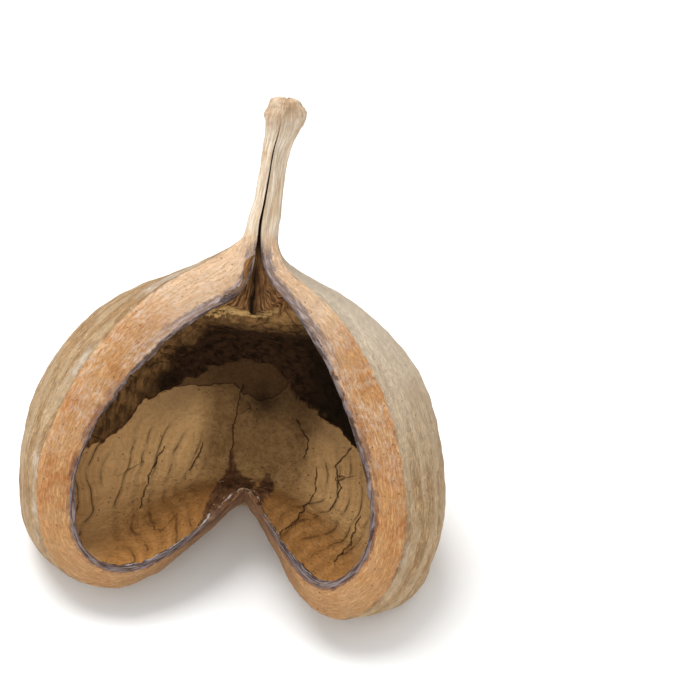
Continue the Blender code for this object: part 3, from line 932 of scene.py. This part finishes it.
def hollow_finish(kit):
    """Inside: tan papery lining, torn away from a dark rough wall, with a grey lip and painted light
    and shade.
    """
    mat, t, shader = new_finish("hollow_lining", 0.85)
    brush = brush_for(t, kit)
    shader.inputs["Specular IOR Level"].default_value = HOLLOW_SHINE
    place = mark(t, "place")
    lip = mark(t, "lip_mm")
    lining = mark(t, "lining_mm")
    ends = ramp(t, plus(t, place, times(t, fine_grit(t, 60.0), 2.5)), 14.5, 17.5)
    base = blend(t, ends, tint(226, 180, 120), tint(184, 128, 70))
    wash = brush.patches(Size=16.0, Cover=0.5, Softness=0.2, Shift=4.0)
    base = over(t, base, wash, tint(184, 138, 84), 0.5)
    mottle = brush.patches(Size=3.0, Cover=0.45, Softness=0.15, Shift=9.0)
    base = over(t, base, mottle, tint(150, 108, 62), 0.45)
    dust = brush.patches(Size=1.1, Cover=0.4, Softness=0.1, Shift=13.0)
    base = over(t, base, dust, tint(122, 86, 48), 0.35)
    # Waves of the lobes, for dents and for painted highlight and shade.
    swing = calc(t, "COSINE", mark(t, "turns"))
    wave = times(t, ramp(t, swing, -0.4, 1.0), mark(t, "lobes"))
    some = brush.patches(Size=9.0, Cover=0.5, Softness=0.1, Shift=51.0)
    groove_shade = times(t, ramp(t, swing, 0.88, 0.99), times(t, some, mark(t, "lobes")))
    crest_highlight = times(t, ramp(t, swing, -0.3, -1.0), mark(t, "lobes"))
    # Painted light on the lining's flanks and painted shade over its middle.
    lit_flank = times(t, mark(t, "lit_flank"), ramp(t, place, 16.0, 14.4))
    base = over(t, base, lit_flank, tint(255, 206, 142), 0.75)
    middle = times(t, ramp(t, mark(t, "lit_flank"), 0.7, 0.0), ramp(t, place, 14.6, 12.8))
    base = over(t, base, middle, tint(96, 68, 40), 0.6)
    # Painted highlight on the wave crests, painted shade in the troughs and grooves.
    base = over(t, base, crest_highlight, tint(206, 154, 96), 0.25)
    base = over(t, base, wave, tint(122, 84, 46), 0.22)
    base = over(t, base, groove_shade, tint(84, 56, 31), 0.6)
    spots = brush.specks(Size=2.2, Amount=0.4, Radius=0.17)
    base = over(t, base, spots, tint(58, 38, 22), 0.75)
    net = brush.crazing(Size=11.0, Width=0.02, Cover=0.38)
    base = over(t, base, net, tint(78, 52, 30), 0.7)
    # The layer above the second tear: a darker colour, with painted shade in it.
    upper_layer_and_shade = brush.band(Distance=mark(t, "second_mm"), From=-NO_END, To=0.1, Fray=0.5, Blur=0.2)
    base = over(t, base, upper_layer_and_shade, tint(104, 74, 46), 0.7)
    # Painted shade in the deep middle, darkest just below the torn edge.
    deep = ramp(t, mark(t, "torn_mm"), 17.0, 0.0)
    base = over(t, base, times(t, deep, ramp(t, lip, 50.0, 80.0)), tint(66, 44, 26), 0.7)
    # Painted shadow along the step of the second tear.
    step = brush.band(Distance=mark(t, "second_mm"), From=-0.35, To=0.1, Fray=0.3, Blur=0.1)
    base = over(t, base, step, tint(52, 35, 22), 0.7)
    # Painted shade over the deepest places.
    gloom = mark(t, "gloom")
    shade = blend(t, mottle, tint(38, 24, 13), tint(19, 12, 7))
    base = over(t, base, gloom, shade, 0.94)
    bare = brush.band(Distance=lining, From=-NO_END, To=0.2, Fray=0.5, Blur=0.2)
    wall = blend(t, mottle, tint(166, 126, 78), tint(112, 80, 48))
    base = blend(t, bare, base, wall)
    # The cavity's dark brown wall, partly its own colour and partly painted shade.
    shaded_dark_wall = blend(t, mottle, tint(60, 39, 24), tint(24, 15, 9))
    shaded_dark_wall = over(t, shaded_dark_wall, gloom, tint(16, 11, 7), 0.92)
    base = over(t, base, mark(t, "cavity"), shaded_dark_wall, 0.97)
    flaky = brush.streaks(Length=5.0, Width=1.6, Softness=0.16)
    crumbs = blend(t, flaky, tint(176, 134, 84), tint(80, 55, 33))
    soil = brush.patches(Size=6.0, Cover=0.4, Softness=0.2, Shift=41.0)
    crumbs = over(t, crumbs, soil, tint(74, 50, 31), 0.6)
    base = over(t, base, times(t, mark(t, "rough_wall"), bare), crumbs, 0.9)
    scaly = brush.crazing(Size=5.5, Width=0.07, Cover=0.55)
    scaly = times(t, scaly, bare)
    base = over(t, base, scaly, tint(34, 22, 13), 0.5)
    # Painted drop shadow of the lining's torn edge on the bare wall.
    torn = brush.band(Distance=lining, From=-1.0, To=0.2, Fray=0.5, Blur=0.15)
    torn = times(t, torn, rest_of(t, mark(t, "rough_wall")))
    base = over(t, base, torn, tint(40, 27, 18), 0.75)
    drawn = use(t, kit["cracks"], Flat=mark(t, "flat", "Vector"), Wander=2.4)["Distance"]
    crack = brush.band(Distance=drawn, From=-NO_END, To=0.17, Fray=0.3, Blur=0.14)
    base = over(t, base, crack, tint(56, 37, 24), 0.8)
    scar = brush.band(Distance=mark(t, "scar_mm"), From=0.0, To=NO_END, Fray=1.3, Blur=0.5)
    pale = brush.patches(Size=2.4, Cover=0.28, Softness=0.05, Shift=47.0)
    raw = blend(t, mottle, tint(118, 80, 54), tint(64, 43, 32))
    raw = blend(t, pale, raw, tint(182, 148, 116))
    base = over(t, base, scar, raw, 0.92)
    stretched = vector(t, "MULTIPLY", i0=own_place(t), i1=(160.0, 1300.0, 1300.0))
    threads = cloud(t, stretched, Scale=1.0, Detail=4.0, Roughness=0.65)["Fac"]
    strips = blend(t, ramp(t, threads, 0.36, 0.58), tint(88, 61, 35), tint(228, 186, 122))
    base = blend(t, ramp(t, mark(t, "ledge"), 0.35, 0.6), base, strips)
    split_wood = brush.streaks(Length=7.0, Width=3.5, Softness=0.12)
    split_wood = blend(t, split_wood, tint(176, 128, 80), tint(84, 58, 38))
    base = over(t, base, mark(t, "throat"), split_wood)
    # Painted shade in the throat's hole.
    base = over(t, base, mark(t, "shadowed_hole"), tint(24, 16, 12))
    on_body = ramp(t, place, 6.6, 7.6)
    sheen = brush.streaks(Length=5.0, Width=0.8, Softness=0.08)
    grey = brush.band(Distance=lip, From=-NO_END, To=1.7, Fray=0.35, Blur=0.2)
    on_body = times(t, on_body, ramp(t, place, 18.9, 17.6))
    grey_lip = blend(t, sheen, tint(62, 47, 44), tint(126, 114, 114))
    base = over(t, base, times(t, grey, on_body), grey_lip)
    strip = brush.band(Distance=lip, From=0.9, To=1.7, Fray=0.5, Blur=0.15)
    flakes = brush.patches(Size=4.0, Cover=0.5, Softness=0.06, Shift=25.0)
    strip = times(t, times(t, strip, ramp(t, place, 11.5, 13.0)), flakes)
    base = over(t, base, strip, tint(196, 190, 184), 0.8)
    gap = brush.band(Distance=lip, From=1.7, To=2.3, Fray=0.35, Blur=0.15)
    base = over(t, base, times(t, gap, on_body), tint(50, 36, 30), 0.8)
    stalk_slit = ramp(t, place, 6.6, 6.0)
    knob = ramp(t, place, 2.6, 1.7)
    base = blend(t, stalk_slit, base, tint(54, 38, 28))
    base = blend(t, knob, base, tint(222, 198, 166))
    height = fine_grit(t, 650.0)
    for dent, depth in ((dust, 0.3), (crack, 1.2), (net, 0.7), (bare, 0.8), (scaly, 0.7), (wave, 0.45),
                        (groove_shade, 0.7)):
        height = calc(t, "SUBTRACT", height, times(t, dent, depth))
    finish_with(t, shader, base, height, depth_mm=0.55,
                rough_value=ramp(t, mottle, 0.0, 1.0, 0.8, 0.92))
    return mat


def make_finishes():
    kit = {"streaks": fibre_streaks(), "patches": patches(), "specks": specks(),
           "band": ragged_band(), "crazing": crazing(), "cracks": drying_cracks()}
    kit["stalk"] = stalk_colour(kit["streaks"], kit["patches"])
    return [skin_finish(kit), rim_finish(kit), hollow_finish(kit)]


# Studio.
# The camera's turn and rise in degrees, and its distance in metres.
CAMERA_TURN = 12.0
CAMERA_RISE = 44.0
CAMERA_AWAY = 0.600
# Where the middle of the picture lies beside and above the pod's guide frame, in metres.
AIM_RIGHT = 0.03598
AIM_UP = 0.04268
SENSOR_MM = 36.0
LENS_MM = 1968.0 / 680.0 * SENSOR_MM
FLOOR_HALF = 6.0
FLOOR_COLOUR = (0.93, 0.93, 0.925, 1)
AIR_STRENGTH = 0.7


def set_camera():
    a, e = math.radians(CAMERA_TURN), math.radians(CAMERA_RISE)
    back = Vector((math.sin(a) * math.cos(e), -math.cos(a) * math.cos(e), math.sin(e)))
    right = Vector((math.cos(a), math.sin(a), 0))
    up = back.cross(right)
    eye = Vector(FRAME_PLACE) * MM + right * AIM_RIGHT + up * AIM_UP + back * CAMERA_AWAY
    data = bpy.data.cameras.new("studio_camera")
    data.lens = LENS_MM
    data.sensor_width = SENSOR_MM
    camera = bpy.data.objects.new("studio_camera", data)
    turn = Matrix((right, up, back)).transposed().to_4x4()
    camera.matrix_world = Matrix.Translation(eye) @ turn
    bpy.context.scene.collection.objects.link(camera)
    bpy.context.scene.camera = camera


def soft_light(name, place, aim, size, watts):
    data = bpy.data.lights.new(name, "AREA")
    data.shape = "DISK"
    data.size = size
    data.energy = watts
    lamp = bpy.data.objects.new(name, data)
    lamp.location = place
    lamp.rotation_euler = (Vector(aim) - Vector(place)).to_track_quat("-Z", "Y").to_euler()
    bpy.context.scene.collection.objects.link(lamp)


def set_studio():
    mesh = bpy.data.meshes.new("studio_floor")
    corners = [(x * FLOOR_HALF, y * FLOOR_HALF, 0) for x, y in ((-1, -1), (1, -1), (1, 1), (-1, 1))]
    mesh.from_pydata(corners, [], [(0, 1, 2, 3)])
    floor = bpy.data.objects.new("studio_floor", mesh)
    bpy.context.scene.collection.objects.link(floor)
    mat, _, shader = new_finish("pale_floor", 0.6)
    shader.inputs["Base Color"].default_value = FLOOR_COLOUR
    mesh.materials.append(mat)
    world = bpy.data.worlds.new("studio_air")
    world.use_nodes = True
    air = world.node_tree.nodes["Background"]
    air.inputs["Color"].default_value = (1, 1, 1, 1)
    air.inputs["Strength"].default_value = AIR_STRENGTH
    bpy.context.scene.world = world
    soft_light("top_light", (-0.34, 0.38, 1.02), aim=(0, 0, 0.03), size=0.8, watts=10.5)
    soft_light("front_light", (0.2, -1.1, 0.95), aim=(0, 0, 0.05), size=0.9, watts=3.9)
    bpy.context.scene.view_settings.view_transform = "Standard"


build_pod(make_finishes())
set_studio()
set_camera()
